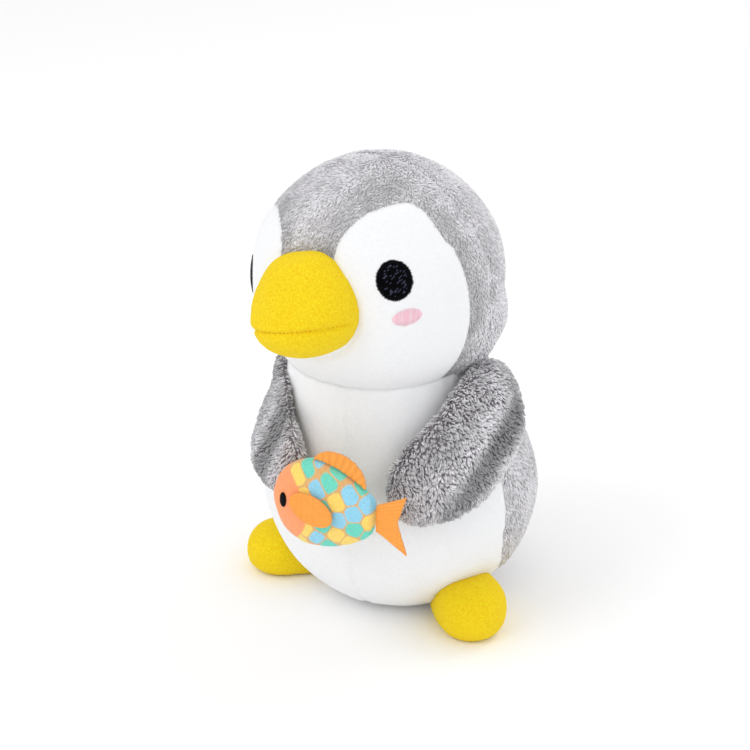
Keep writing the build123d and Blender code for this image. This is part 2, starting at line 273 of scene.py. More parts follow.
def mottle(material, low, high, size, contrast):
    """Let a cloth's colour wander softly between two tones, as brushed pile does."""
    nodes, links = material.node_tree.nodes, material.node_tree.links
    clouds = noise_node(material, size, detail=5, roughness=0.7)
    ramp = nodes.new("ShaderNodeValToRGB")
    for element, colour, sign in zip(ramp.color_ramp.elements, (low, high), (-1, 1)):
        element.position = 0.5 + sign * contrast / 4
        element.color = (*colour, 1)
    links.new(clouds.outputs["Fac"], ramp.inputs["Fac"])
    links.new(ramp.outputs["Color"], nodes["Principled BSDF"].inputs["Base Color"])
    return material


def painted(material, attribute):
    """Take a cloth's colour from a mesh's colour attribute."""
    nodes, links = material.node_tree.nodes, material.node_tree.links
    colours = nodes.new("ShaderNodeAttribute")
    colours.attribute_name = attribute
    links.new(colours.outputs["Color"], nodes["Principled BSDF"].inputs["Base Color"])
    return material


def paint(piece, attribute, colours):
    layer = piece.data.color_attributes.new(attribute, "FLOAT_COLOR", "POINT")
    layer.data.foreach_set("color", np.c_[colours, np.ones(len(colours))].astype(np.float32).ravel())


PALE = (1, 1, 1)
WHITE = mottle(
    cloth_material("white_velboa", (0.88, 0.885, 0.90), sheen=0.35, grain=0.5, subsurface=0.3),
    (0.85, 0.86, 0.885), (0.91, 0.915, 0.93), 1.3 * MM, contrast=0.9)
# Painted shade, in part: the cloth under the flippers' pile is dark grey, for the shade deep between their
# locks; grey_nap, under the flatter pile of the hood and back, is a lighter copy of the same grey, so less
# shade shows there.
GREY_ROOT_SHADE = cloth_material("grey_pile_root_shade", (0.20, 0.18, 0.20), sheen=0.0, grain=0.6, grain_size=0.6 * MM)
GREY_NAP = cloth_material("grey_nap", (0.50, 0.49, 0.51), sheen=0.2, grain=0.6, grain_size=0.5 * MM,
                          tint=PALE)
GREY_TINT, GREY_TONES = (1.0, 0.985, 1.025), (0.36, 0.48, 0.60, 0.72, 0.86)
GREY_PILE = [
    cloth_material(f"grey_pile_{i}", tuple(tone * c for c in GREY_TINT), sheen=0.35, tint=PALE)
    for i, tone in enumerate(GREY_TONES)
]
YELLOW = mottle(
    cloth_material("yellow_plush", (1.0, 0.70, 0.01), sheen=0.15, grain=1.0, grain_size=0.45 * MM,
                   tint=(1, 0.8, 0.2)),
    (0.90, 0.53, 0.003), (1.0, 0.84, 0.02), 0.7 * MM, contrast=0.75)
YELLOW_THREAD = cloth_material("yellow_thread", (0.74, 0.36, 0.006), rough=0.6, sheen=0.2)
BLACK = (0.001, 0.001, 0.002)
BLACK_THREAD = cloth_material("black_thread", BLACK, rough=0.4, sheen=0.0, gloss=0.06)
BLACK_GLINT = cloth_material("black_thread_lit", (0.06, 0.065, 0.12), rough=0.3, sheen=0.0, gloss=0.2)
BLACK_GROUND = cloth_material("black_ground", BLACK, sheen=0.0, gloss=0.0)
PINK_SHEEN = (1, 0.85, 0.9)
PINK_THREAD = cloth_material("pink_thread", (1.0, 0.64, 0.74), rough=0.5, tint=PINK_SHEEN)
PINK_GLINT = cloth_material("pink_thread_lit", (1.0, 0.73, 0.82), rough=0.45, tint=PINK_SHEEN)
PINK_GROUND = cloth_material("pink_ground", (0.98, 0.58, 0.69), rough=0.8, sheen=0.1)
FISH_CLOTH = painted(cloth_material("printed_scales", (0.4, 0.8, 0.8), grain=0.5), "print")
FELT = painted(cloth_material("orange_felt", (1.0, 0.4, 0.1), grain=0.5, grain_size=0.35 * MM), "print")
COTTON = cloth_material("cotton_pouch", (0.8, 0.78, 0.7), grain=0.5, grain_size=0.5 * MM)
FIBRE = cloth_material("fibrefill", (0.9, 0.9, 0.88), grain=0.8, grain_size=1.5 * MM)
PELLETS = cloth_material("pellets", (0.8, 0.8, 0.8), rough=0.4, sheen=0.0, grain=0.9, grain_size=3 * MM)


# ---- Pile ----
# How each plush looks: the spacing and length of its locks, how far their lay wanders over the cloth and
# strays from lock to lock, their rise off it in degrees, how far they gather in clumps, how full each is,
# and how light and how uneven its tone is. How light it is paints light and shade on the one grey plush:
# lighter on the hood, where light falls from above, and darker on the flippers, the right one most, in shade.
BACK_PILE = dict(spacing=0.95 * MM, length=2.3 * MM, wander=0.4, stray=0.18, rise=(18, 34), clumping=0.7,
                 fullness=0.6, light=0.72, spread=0.45)
HOOD_PILE = dict(spacing=0.80 * MM, length=2.2 * MM, wander=0.35, stray=0.10, rise=(9, 20), clumping=0.45,
                 fullness=0.5, light=0.87, spread=0.30)
FLIPPER_PILE = dict(spacing=0.90 * MM, length=2.2 * MM, wander=0.45, stray=0.15, rise=(38, 58), clumping=1.15,
                    fullness=0.8, spread=0.5)
WHOLE, HALVES = (("", 0),), (("_left", 1), ("_right", -1))
TRIES = 5  # random places tried for each lock that is wanted
CELL_STRIDES = np.array([1, 100003, 10000600009])
CLUMP_SIZE, CLUMP_WARP = 2.1, 1.3  # in spacings
ROOT_DEPTH = 0.3 * MM  # how far a lock starts under the cloth
LENGTH_RANGE, WIDTH_RANGE = (0.75, 1.15), (0.5, 0.68)
TIP_DROOP = 0.45  # share of its rise that a lock keeps towards its tip
MID_GATHER, TIP_GATHER = 0.3, 0.45
MID_WIDTH, MID_FULLNESS = 0.85, 0.8  # of the width and fullness at the root
SHADOW_DEPTH = 0.9


def cell_numbers(points, size):
    """A number for the cubic cell that each point lies in."""
    return np.floor(points / size + 1e4).astype(np.int64) @ CELL_STRIDES


def scattered(host, spacing, rng, where):
    """Places spread evenly over a host, one to a cell, and the surface's direction at each."""
    host.data.calc_loop_triangles()
    corners = fetched(host.data.loop_triangles, "vertices", 3, np.int32)
    points, normals = arrays(host)
    a, b, c = (points[corners[:, k]] for k in range(3))
    area = np.linalg.norm(np.cross(b - a, c - a), axis=1) / 2
    wanted = int(area.sum() / spacing**2 * TRIES)
    picked = corners[rng.choice(len(area), wanted, p=area / area.sum())].T
    u, v = rng.random(wanted), rng.random(wanted)
    u, v = np.where(u + v > 1, 1 - u, u), np.where(u + v > 1, 1 - v, v)
    shares = [share[:, None] for share in (1 - u - v, u, v)]
    root = sum(points[corner] * share for corner, share in zip(picked, shares))
    up = unit(sum(normals[corner] * share for corner, share in zip(picked, shares)))
    kept = where(root)
    root, up = root[kept], up[kept]
    _, first = np.unique(cell_numbers(root, spacing), return_index=True)
    return root[first], up[first]


def clumped(root, spacing, seed):
    """Each lock's clump, and the middle of that clump, which its locks lean towards."""
    warp = np.stack([lumps(root, 5 * MM, seed + 40 + k) for k in range(3)], -1) * CLUMP_WARP * spacing
    _, clump = np.unique(cell_numbers(root + warp, spacing * CLUMP_SIZE), return_inverse=True)
    size = np.bincount(clump)
    return clump, np.stack([np.bincount(clump, root[:, k]) / size for k in range(3)], -1)[clump]


def grow_pile(name, host, seed, where, lay, shadow, spacing, length, wander, stray, rise, clumping,
              fullness, light, spread):
    """Grey plush: soft pointed locks all over a host's surface, combed along lay and gathered in clumps."""
    rng = np.random.default_rng(seed)
    root, up = scattered(host, spacing, rng, where)
    clump, middle = clumped(root, spacing, seed)
    drift = np.stack([lumps(root, 16 * MM, seed + k) + 0.5 * lumps(root, 5 * MM, seed + 9 + k)
                      for k in range(3)], -1)
    along = lay(root) + wander * drift + stray * rng.normal(size=root.shape)
    along = unit(along - up * np.sum(along * up, 1, keepdims=True))
    side = np.cross(up, along)
    reach = length * rng.uniform(*LENGTH_RANGE, len(root))[:, None]
    rise = np.radians(rng.uniform(*rise, len(root)))[:, None]
    droop = rise * TIP_DROOP
    gather = clumping * (middle - root)
    gather -= up * np.sum(gather * up, 1, keepdims=True)
    mid = root + reach * 0.5 * (up * np.sin(rise) + along * np.cos(rise)) + gather * MID_GATHER
    tip = mid + reach * 0.5 * (up * np.sin(droop) + along * np.cos(droop)) + gather * TIP_GATHER
    half = spacing * rng.uniform(*WIDTH_RANGE, len(root))[:, None]
    thick = up * half * fullness
    base = root - up * ROOT_DEPTH
    mid_half = side * half * MID_WIDTH
    corners = [base + side * half, base + thick, base - side * half,
               mid + mid_half, mid + thick * MID_FULLNESS, mid - mid_half, tip]
    start = (np.arange(len(root)) * len(corners))[:, None]
    walls = [np.array([[k, (k + 1) % 3, 3 + (k + 1) % 3, 3 + k]]) + start for k in range(3)]
    ends = [np.array([[3 + k, 3 + (k + 1) % 3, 6]]) + start for k in range(3)]
    clumps = clump.max() + 1
    tone = (rng.random(clumps) * 0.6 + rng.random(clumps) * 0.4)[clump]
    tone = light + spread * (tone - 0.5)
    tone = tone + 0.12 * lumps(root, 9 * MM, seed + 30) + 0.15 * lumps(root, 42 * MM, seed + 31)
    tone = np.clip(tone - SHADOW_DEPTH * shadow(root), 0, 0.999)
    shade = (tone * len(GREY_PILE)).astype(int)
    return new_piece(name, np.stack(corners, 1).reshape(-1, 3), [np.concatenate(walls), np.concatenate(ends)],
                     GREY_PILE, np.tile(shade, len(walls) + len(ends)))


def dress_in_pile(name, host, body, parts, seed, where=lambda p: True, lay=lambda p: DOWN,
                  shadow=lambda p: 0, **look):
    """Cover a host with pile, in one piece or as a left and a right half, which keeps each mesh light."""
    for suffix, sign in parts:
        def here(p):
            return (sign * p[:, 0] >= 0) & where(p)

        pile = grow_pile(name + "_pile" + suffix, host, seed, here, lay, shadow, **look)
        dress(pile, body)


# ---- Torso ----
HEAD_CENTRE = np.array(JOINTS["neck_turn"]["pos_m"])
HEAD_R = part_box("hood_back_left")[1].y - HEAD_CENTRE[1]
TORSO_SKIN = ("body_front_left", "body_front_right", "body_back_left", "body_back_right", "base_panel")
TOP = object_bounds()[1].z
SIDE_SEAM_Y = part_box("body_front_left")[1].y
BASE_R, LOW_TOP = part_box("base_panel")[1].x, 20 * MM
BELLY_CORE = np.array([0, SIDE_SEAM_Y, 0.25 * TOP])
RAY_START = 0.2  # rays to the torso's skin start this far out
SEAM_TWIST = radians(12)  # the shoulders and the front seam are turned to the penguin's left
COLUMNS, ROWS, LINING_ROWS = 320, 170, 8  # points around and up the torso's skin, and in its lining
COLUMN_TURNS = (np.arange(COLUMNS) / COLUMNS - 0.25) * 2 * pi
SEAM_SWEEP = 0.38  # radians by which the side seams run further back near the base
PUCKER, GATHER, SWELL = 0.22 * MM, 0.5 * MM, 0.5 * MM
GATHERS_AROUND, GATHER_REACH = 31, 7 * MM
COLLAR_SNUG, COLLAR_TUCK = 1.1 * MM, 1.5 * MM
NAPE_T, NAPE_RISE = 5.4 * MM, 12 * MM  # the soft roll of the back panel behind the head


def torso_grid():
    """The torso's outer surface as a grid: from under the base up to the collar, column by column."""
    tree = cad_surface(TORSO_SKIN)
    core = Vector(BELLY_CORE)
    points = np.empty((ROWS, COLUMNS, 3))

    def skin_at(theta, phi):
        turned = theta + SEAM_SWEEP * smooth(-phi, 0.1, 0.9) * sin(theta)
        level = cos(phi)
        direction = Vector((sin(turned) * level, -cos(turned) * level, sin(phi)))
        hit = tree.ray_cast(core + direction * RAY_START, -direction)[0]
        return hit if hit and (hit - core).dot(direction) > 0 else None

    for c, theta in enumerate(COLUMN_TURNS):
        low, high = 0.0, pi / 2
        for _ in range(14):
            phi = (low + high) / 2
            hit = skin_at(theta, phi)
            inside = hit is not None and (hit - Vector(HEAD_CENTRE)).length > HEAD_R + 0.65 * MM
            low, high = (phi, high) if inside else (low, phi)
        last = core
        for r, phi in enumerate(np.linspace(-pi / 2 + 0.002, low, ROWS)):
            last = skin_at(theta, phi) or last
            points[r, c] = last
    return points.reshape(-1, 3)


def torso_sewn(points):
    """Press in the seams, gather the collar and roll the nape: the new points, and where the nape is."""
    x, y, z = points.T
    turns = np.tile(COLUMN_TURNS, ROWS)
    front = np.abs(turns) < pi / 2
    seam_side = np.array([cos(SEAM_TWIST), sin(SEAM_TWIST), 0])
    front_seam = np.where(front, (points - [0, SIDE_SEAM_Y - 1 * MM, 0]) @ seam_side, 1.0)
    back_seam = np.where(front, 1.0, x)
    off_side = np.abs(np.arctan2(np.sin(turns), np.cos(turns))) - pi / 2
    side_seam = off_side * np.hypot(x, y - SIDE_SEAM_Y)
    low_seam = np.where(z < LOW_TOP, np.hypot(x, y) - BASE_R, 1.0)
    collar = np.linalg.norm(points - HEAD_CENTRE, axis=1) - HEAD_R
    standing = smooth(z, 2 * MM, 9 * MM)
    around = np.arctan2(x, -(y - SIDE_SEAM_Y))

    move = np.zeros(len(points))
    for distance, depth, width, hold in (
        (front_seam, 0.75, 1.3, standing), (back_seam, 1.0, 1.6, standing),
        (side_seam, 1.5, 1.9, standing), (low_seam, 0.8, 1.4, 1),
    ):
        move -= depth * MM * groove(distance, width * MM) * hold
        pucker = groove(distance, 3.2 * width * MM)
        move += PUCKER * pucker * lumps(points * [1, 1, 2.2], 9 * MM, 3) * standing
    gathers = np.sin(around * GATHERS_AROUND + 1.5 * lumps(points, 30 * MM, 5)) * 0.5
    gathers = gathers + lumps(points, 10 * MM, 6) * 0.5
    move += GATHER * gathers * np.exp(-np.clip(collar - 2 * MM, 0, None) / GATHER_REACH)
    move += SWELL * lumps(points, 45 * MM, 7) * standing
    nape = smooth(-np.cos(around), -0.05, 0.4)
    move += NAPE_T * nape * smooth(z, 0.44 * TOP, 0.57 * TOP)
    points = points + unit(points - BELLY_CORE) * move[:, None]
    points[:, 2] = np.maximum(points[:, 2], 0.05 * MM)
    snug = COLLAR_SNUG * np.exp(-np.clip(collar, 0, None) / (1.5 * MM)) * (1 - nape)
    return points - unit(points - HEAD_CENTRE) * snug[:, None], nape


def collar_lining(edge, rolled):
    """The rows in which the collar tucks in under the head, and rolls up behind it."""
    start = np.linalg.norm(edge, axis=1)[:, None]
    tucked = HEAD_R - COLLAR_TUCK
    lining = []
    for share in np.arange(1, LINING_ROWS + 1) / LINING_ROWS:
        roll = UP * NAPE_RISE / HEAD_R * sin(share * pi / 2) * rolled
        turn = unit(edge) + roll + DOWN * 0.06 * share * (1 - rolled)
        closing = np.sqrt(1 - share**2) * rolled + (1 - share) * (1 - rolled)
        lining.append(HEAD_CENTRE + unit(turn) * (tucked + (start - tucked) * closing))
    return np.array(lining)


def clear_of_head(p):
    """Where the back is free of the floor and of the head."""
    return (p[:, 2] > 4 * MM) & (np.linalg.norm(p - HEAD_CENTRE, axis=1) > HEAD_R)


def build_torso():
    points, nape = torso_sewn(torso_grid())
    grid = points.reshape(ROWS, COLUMNS, 3)
    lining = collar_lining(grid[-1] - HEAD_CENTRE, nape.reshape(ROWS, COLUMNS)[-1][:, None])
    grid = np.concatenate([grid, lining])
    faces = grid_faces(len(grid), COLUMNS, wrap=True)
    flat = grid.reshape(-1, 3)
    x, y, z = flat[faces].mean(1).T
    is_base = (z < LOW_TOP) & (np.hypot(x, y) < BASE_R)
    is_front = np.arange(len(faces)) % COLUMNS < COLUMNS // 2
    panels = {}
    for name, keep, cloth, slot, nodes, fill in (
        ("body_front", is_front & ~is_base, WHITE, "white_plush",
         ("body_front_left", "body_front_right", "body_filling"), 0.85),
        ("body_back", ~is_front & ~is_base, GREY_NAP, "grey_plush",
         ("body_back_left", "body_back_right"), 0.85),
        ("base", is_base, WHITE, "white_plush", ("base_panel",), None),
    ):
        used, renumbered = np.unique(faces[keep], return_inverse=True)
        panels[name] = new_piece(name, flat[used], [renumbered.reshape(-1, 4)], [cloth])
        dress(panels[name], "torso", nodes)
    dress_in_pile("body_back", panels["body_back"], "torso", HALVES, 21, where=clear_of_head, **BACK_PILE)


# ---- Head ----
HEAD_X = np.array(JOINTS["head_nod"]["axis"])
HEAD = Local(HEAD_CENTRE, HEAD_X, (0, 1, 0), np.cross(HEAD_X, (0, 1, 0)))
LOBE_X, LOBE_Z, LOBE_R = 0.55 * HEAD_R, 0.40 * HEAD_R, 0.305 * HEAD_R  # rounded tops of the white face
PEAK_Z = 0.34 * HEAD_R  # lower edge of the grey peak over the beak
CHEEK_X, CHEEK_Z = 0.83 * HEAD_R, 0.5 * HEAD_R
FACE_EDGE_Y = -0.23 * HEAD_R  # cheek edges of the face
FACE_EDGE_SLOPE = 0.08  # the cheek edges lean forwards towards the top
FACE_CORNER = 5 * MM  # rounding where the edges meet
FAR_CHEEK = 1.5 * MM  # the right cheek's edge lies a little further back
CROWN_SEAM_Y = HEAD.into(cad_points("hood_front"))[:, 1].max()
CROWN_FLAT, JOWL, REAR, UNEVEN = 2.0 * MM, 4.5 * MM, 0.8 * MM, 0.35 * MM  # how the head leaves a ball
BALL_LEVEL = 7


def face_distance(p):
    """How far points of the head, in its own frame, lie outside the white face; negative inside it."""
    x, y, z = np.abs(p[:, 0]), p[:, 1], p[:, 2]
    lobe = np.hypot(x - LOBE_X, z - LOBE_Z) - LOBE_R
    out, up = x - CHEEK_X, z - CHEEK_Z
    cheek = np.maximum(out * 0.92 + up * 0.38, up * 0.65 - out * 0.76)
    inner = np.minimum(np.minimum(lobe, z - PEAK_Z), cheek)
    front = y - FACE_EDGE_Y + FACE_EDGE_SLOPE * z - FAR_CHEEK * smooth(-p[:, 0], 0, 0.5 * HEAD_R)
    blend = np.clip(0.5 + 0.5 * (front - inner) / FACE_CORNER, 0, 1)
    return inner * (1 - blend) + front * blend + FACE_CORNER * blend * (1 - blend) * 0.5


def head_radius(d):
    """The stuffed head's radius in a direction, in its own frame: a ball that is fuller behind the crown."""
    radius = np.full(len(d), HEAD_R)
    radius -= CROWN_FLAT * smooth(d @ unit([0.25, -0.1, 0.95]), 0.25, 0.9)
    low_corner = smooth(0.60 * np.abs(d[:, 0]) + 0.20 * d[:, 1] - 0.77 * d[:, 2], 0.78, 0.95)
    radius += JOWL * (low_corner * smooth(d[:, 1], -0.15, 0.2))
    radius += REAR * smooth(d @ unit([0, 0.8, 0.6]), 0.5, 1)
    return radius + UNEVEN * lumps(d * HEAD_R, 40 * MM, 11)


def ball_points(level):
    """Points and triangles of an even unit ball."""
    ball = bmesh.new()
    bmesh.ops.create_icosphere(ball, subdivisions=level, radius=1)
    points = np.array([v.co for v in ball.verts])
    faces = np.array([[v.index for v in f.verts] for f in ball.faces])
    ball.free()
    return unit(points), faces


def snap(points, distance, reach):
    """Move the points nearest a line on the ball onto it, so that a panel's edge runs clean."""
    points = points.copy()
    step, rounds = 0.05 * MM, 3
    for _ in range(rounds):
        d = distance(points)
        near = np.abs(d) < reach
        slope = np.stack([(distance(points[near] + step * axis) - d[near]) / step
                          for axis in np.eye(3)], -1)
        n = unit(points[near])
        slope -= n * np.sum(slope * n, 1, keepdims=True)
        moved = points[near] - slope * (d[near] / np.maximum(np.sum(slope**2, 1), 0.05))[:, None]
        points[near] = unit(moved) * HEAD_R
    return points


def head_panel(name, ball, faces, radius, material):
    """A panel of the head: some of the ball's faces, each point moved out or in to its radius."""
    used, renumbered = np.unique(faces, return_inverse=True)
    points = HEAD.out(unit(ball[used]) * radius[used][:, None])
    return new_piece(name, points, [renumbered.reshape(-1, 3)], [material])


def face_surface(points, lift=0.0):
    """Lay head-frame points on the face, lifted off it."""
    d = unit(points)
    return d * (head_radius(d) + lift)[:, None]


def hood_lay(p):
    """The hood's pile is combed back from the face and down."""
    return DOWN + 0.3 * unit(HEAD_CENTRE + HEAD_R * unit([0, -1, 0]) - p)


def hood_shadow(p):
    """Darker pile along the face's edge, and darkest over the beak."""
    beak_gap = np.linalg.norm(p - HEAD.out(HEAD_R * unit(BEAK_SEAT)), axis=1) - BEAK_R
    edge = 1 - smooth(face_distance(HEAD.into(p)), 2 * MM, 13 * MM)
    return 0.38 * edge + 0.35 * (1 - smooth(beak_gap, 1 * MM, 8 * MM))


def build_head():
    unit_ball, faces = ball_points(BALL_LEVEL)
    ball = snap(unit_ball * HEAD_R, face_distance, 0.55 * MM)
    on_edge = np.abs(face_distance(ball)) < 0.3 * MM
    crown = snap(ball, lambda p: p[:, 1] - CROWN_SEAM_Y, 0.5 * MM)
    ball = np.where(on_edge[:, None], ball, crown)
    away = face_distance(ball)
    x, y, _ = ball.T
    middle = ball[faces].mean(1)
    in_face = face_distance(unit(middle) * HEAD_R) < 0
    in_front = middle[:, 1] < CROWN_SEAM_Y
    base = head_radius(unit(ball))
    beak_edge = np.linalg.norm(ball - HEAD_R * unit(BEAK_SEAT), axis=1) - BEAK_R
    face_r = base - 0.9 * MM * groove(away, 1.7 * MM) - 0.7 * MM * groove(beak_edge, 1.5 * MM)
    hood_r = base - 0.7 * MM - 0.5 * MM * groove(away, 1.5 * MM)
    hood_r -= 1.1 * MM * groove(y - CROWN_SEAM_Y, 1.7 * MM)
    hood_r -= 0.9 * MM * groove(np.where(y > CROWN_SEAM_Y, x, 1.0), 1.6 * MM)

    face = head_panel("face", ball, faces[in_face], face_r, WHITE)
    dress(face, "head", ("face_panel", "head_filling"))
    for name, keep, nodes, parts, seed in (
        ("hood_front", ~in_face & in_front, ("hood_front",), WHOLE, 41),
        ("hood_back", ~in_face & ~in_front, ("hood_back_left", "hood_back_right"), HALVES, 42),
    ):
        hood = head_panel(name + "_cover", ball, faces[keep], hood_r, GREY_NAP)
        dress(hood, "head", nodes)
        dress_in_pile(name, hood, "head", parts, seed, lay=hood_lay, shadow=hood_shadow, **HOOD_PILE)


# ---- Beak ----
BEAK_CAD = HEAD.into(cad_points("beak_upper", "beak_lower"))
BEAK_R = np.abs(BEAK_CAD[:, 0]).max()
BEAK_TIP_Y = BEAK_CAD[:, 1].min()
BEAK_Z = BEAK_CAD[:, 2].max() - BEAK_R
MOUTH_Z = HEAD.into(cad_points("beak_lower"))[:, 2].max()
BEAK_CENTRE = np.array([0, -0.96 * HEAD_R, BEAK_Z])
BEAK_LENGTH = 0.92 * (BEAK_CENTRE[1] - BEAK_TIP_Y)
BEAK_SEAT = np.array([0, -0.92 * HEAD_R, BEAK_Z])
BEAK_COLUMNS, BEAK_ROWS = 220, 110
BLUNT, POINTED = 0.98, 0.80  # how the beak closes at its tip, below, and how much more so above
SQUARE = 0.9  # how square its upper half is at the root
TOP_NARROWING, TOP_HIGHER, CHIN_FLAT = 0.20, 0.07, 0.13
BEAK_SINK = 1.8 * MM  # how far the beak's root lies in the face
MOUTH_DROP, MOUTH_RISE = 1 * MM, 3.5 * MM
LIP = 2.6 * MM  # from the mouth line to the fullest part of each lip
MOUTH_TURN, MOUTH_STITCHES = radians(78), 34


def beak_point(around, reach):
    """A point of the beak's rounded form: reach is 0 at the tip and 90 degrees at its widest."""
    above = np.sin(around)
    wide = np.sin(reach) ** (BLUNT + POINTED * smooth(above, 0, 0.8))
    square = 2 / (2 + SQUARE * smooth(reach, 0.4, 1.4) * smooth(above, 0, 0.3))
    x = BEAK_R * wide * np.sign(np.cos(around)) * np.abs(np.cos(around)) ** square
    z = BEAK_R * wide * np.sign(above) * np.abs(above) ** square
    x = x * (1 - TOP_NARROWING * smooth(z, 0.1 * BEAK_R, BEAK_R))
    z = z * (1 - CHIN_FLAT * smooth(-z, 0, 0.8 * BEAK_R) + TOP_HIGHER * smooth(z, 0.2 * BEAK_R, BEAK_R))
    return BEAK_CENTRE + np.stack([x, -BEAK_LENGTH * np.cos(reach), z], -1)


def mouth_height(y):
    """Height of the mouth line: it rises a little from the corners to the tip."""
    forward = np.clip((BEAK_CENTRE[1] - y) / BEAK_LENGTH, 0, 1)
    return MOUTH_Z - MOUTH_DROP + MOUTH_RISE * forward


def lips(points):
    """How far the mouth's seam, stitches and lips move points of the beak in or out."""
    forward = BEAK_CENTRE[1] - points[:, 1]
    line = points[:, 2] - mouth_height(points[:, 1])
    run = np.arctan2(points[:, 0], forward) * BEAK_R
    dimple = 0.5 + 0.5 * np.cos(run * 2 * pi / (2.1 * MM))
    move = -0.9 * MM * groove(line, 0.75 * MM) - 0.35 * MM * dimple * groove(line, 1.4 * MM)
    move += 0.35 * MM * groove(line - LIP, 2.2 * MM) + 0.2 * MM * groove(line + LIP, 2.2 * MM)
    return move * smooth(forward, -4 * MM, 5 * MM)


def build_beak():
    around = turns_of(BEAK_COLUMNS)
    low, high = np.full(BEAK_COLUMNS, 0.3), np.full(BEAK_COLUMNS, pi * 0.75)
    for _ in range(20):
        reach = (low + high) / 2
        outside = np.linalg.norm(beak_point(around, reach), axis=1) > HEAD_R - BEAK_SINK
        low, high = np.where(outside, reach, low), np.where(outside, high, reach)
    share = np.linspace(0, 1, BEAK_ROWS)[:, None]
    reach = 0.002 + low[None, :] * share
    points = beak_point(np.broadcast_to(around, reach.shape), reach).reshape(-1, 3)
    out = unit((points - BEAK_CENTRE) / [BEAK_R, BEAK_LENGTH, BEAK_R])
    move = lips(points) + 0.35 * MM * lumps(points, 22 * MM, 15) + 0.08 * MM * lumps(points, 3.5 * MM, 16)
    points = HEAD.out(points + out * move[:, None])
    beak = new_piece("beak", points, [grid_faces(BEAK_ROWS, BEAK_COLUMNS, wrap=True)], [YELLOW])
    dress(beak, "head", ("beak_upper", "beak_lower", "beak_filling"))
    sew_mouth(beak)


def sew_mouth(beak):
    """A row of short stitches along the mouth line."""
    points, _ = arrays(beak)
    tree = BVHTree.FromPolygons(points.tolist(), [tuple(face.vertices) for face in beak.data.polygons])
    path = []
    for turn in np.linspace(-MOUTH_TURN, MOUTH_TURN, 2 * MOUTH_STITCHES):
        y = BEAK_CENTRE[1] - BEAK_LENGTH * cos(turn)
        ray = unit(np.array([BEAK_R * sin(turn), y - BEAK_CENTRE[1], 0])) @ HEAD.axes
        start = HEAD.out([0, BEAK_CENTRE[1], mouth_height(y)])
        path.append(tree.ray_cast(Vector(start + ray * 0.1), Vector(-ray))[0])
    path = np.array(path)

    def lay(where, lift):
        found = [tree.find_nearest(Vector(p)) for p in where]
        ground, normals = (np.array([hit[k] for hit in found]) for k in range(2))
        return ground + normals * np.reshape(lift, (-1, 1))

    thread_points, thread_faces = stitches(path[0::2], path[1::2], 0.30 * MM, 0.45 * MM, lay)
    mouth = new_piece("mouth_stitches", thread_points, [thread_faces.reshape(-1, 4)], [YELLOW_THREAD])
    dress(mouth, "head")


# ---- Embroidery ----
EYE = dict(
    width=14.7 * MM, height=16.4 * MM, up=radians(10), sides={1: radians(42), -1: radians(53)},
    slant=0, turn=radians(35), border=2.2 * MM, pitch=0.36 * MM, ragged=0.045, glints=0.2, seed=51,
    materials=[BLACK_GROUND, BLACK_THREAD, BLACK_GLINT], slot_name="black_thread")
BLUSH_SIDE = radians(44.5)
BLUSH = dict(
    width=12.5 * MM, height=7.6 * MM, up=-radians(7), sides={1: BLUSH_SIDE, -1: BLUSH_SIDE},
    slant=radians(5), turn=radians(72), border=0, pitch=0.42 * MM, ragged=0.13, glints=0.3, seed=52,
    materials=[PINK_GROUND, PINK_THREAD, PINK_GLINT], slot_name="pink_thread")
DOME, SUNK = 0.6 * MM, 0.25 * MM  # how far the padding under the threads stands up, and starts below
DOME_RINGS, DOME_SPOKES = 14, 64
STITCH_STEPS = 5  # cross sections along a thread
STITCH_RING = ((1, 0.1), (0.55, 0.8), (-0.55, 0.8), (-1, 0.1))  # across and up, in half widths and heights
BORDER_WIDTH, BORDER_HEIGHT, FILL_WIDTH, FILL_HEIGHT = 0.56, 0.35 * MM, 0.52, 0.22 * MM
STITCH_LENGTH, SHORTEST = 0.95 * MM, 0.4 * MM


def stitches(starts, ends, half_width, height, lay):
    """Points and faces of short raised threads, laid on a surface by lay(points, lift)."""
    share = np.linspace(0, 1, STITCH_STEPS)
    path = starts[:, None, :] * (1 - share)[None, :, None] + ends[:, None, :] * share[None, :, None]
    normals = unit(lay(starts, np.full(len(starts), 1 * MM)) - lay(starts, np.zeros(len(starts))))
    side = unit(np.cross(ends - starts, normals))[:, None, :]
    taper = np.sqrt(np.sin(pi * (0.08 + 0.84 * share)))[None, :, None]
    rise = np.broadcast_to(height * (0.35 + 0.65 * np.sin(pi * share)), path.shape[:2])
    rings = []
    for across, up in STITCH_RING:
        row = path + side * half_width * taper * across
        rings.append(lay(row.reshape(-1, 3), (rise * up).ravel()).reshape(path.shape))
    corners, count = len(rings), len(starts)
    k = np.arange(corners)
    after = (k + 1) % corners
    quad = [np.stack([k, after, after + corners, k + corners], -1) + step * corners
            for step in range(STITCH_STEPS - 1)]
    caps = [k[::-1], (STITCH_STEPS - 1) * corners + k]
    faces = np.concatenate([*quad, caps])
    start = (np.arange(count) * STITCH_STEPS * corners)[:, None, None]
    return np.stack(rings, 2).reshape(-1, 3), faces[None] + start


def border_ring(a, b, border, pitch, ragged, rng):
    """Where an oval's border threads start, on the inside, and end, in the oval's plane."""
    count = int(pi * (a + b) / pitch)
    ring = turns_of(count)
    inner, outer = 1 - border / a, 1 + ragged * rng.uniform(-1, 1, count)
    starts = a * inner * np.cos(ring + 0.05), b * (1 - border / b) * np.sin(ring + 0.05)
    return starts, (a * outer * np.cos(ring), b * outer * np.sin(ring))


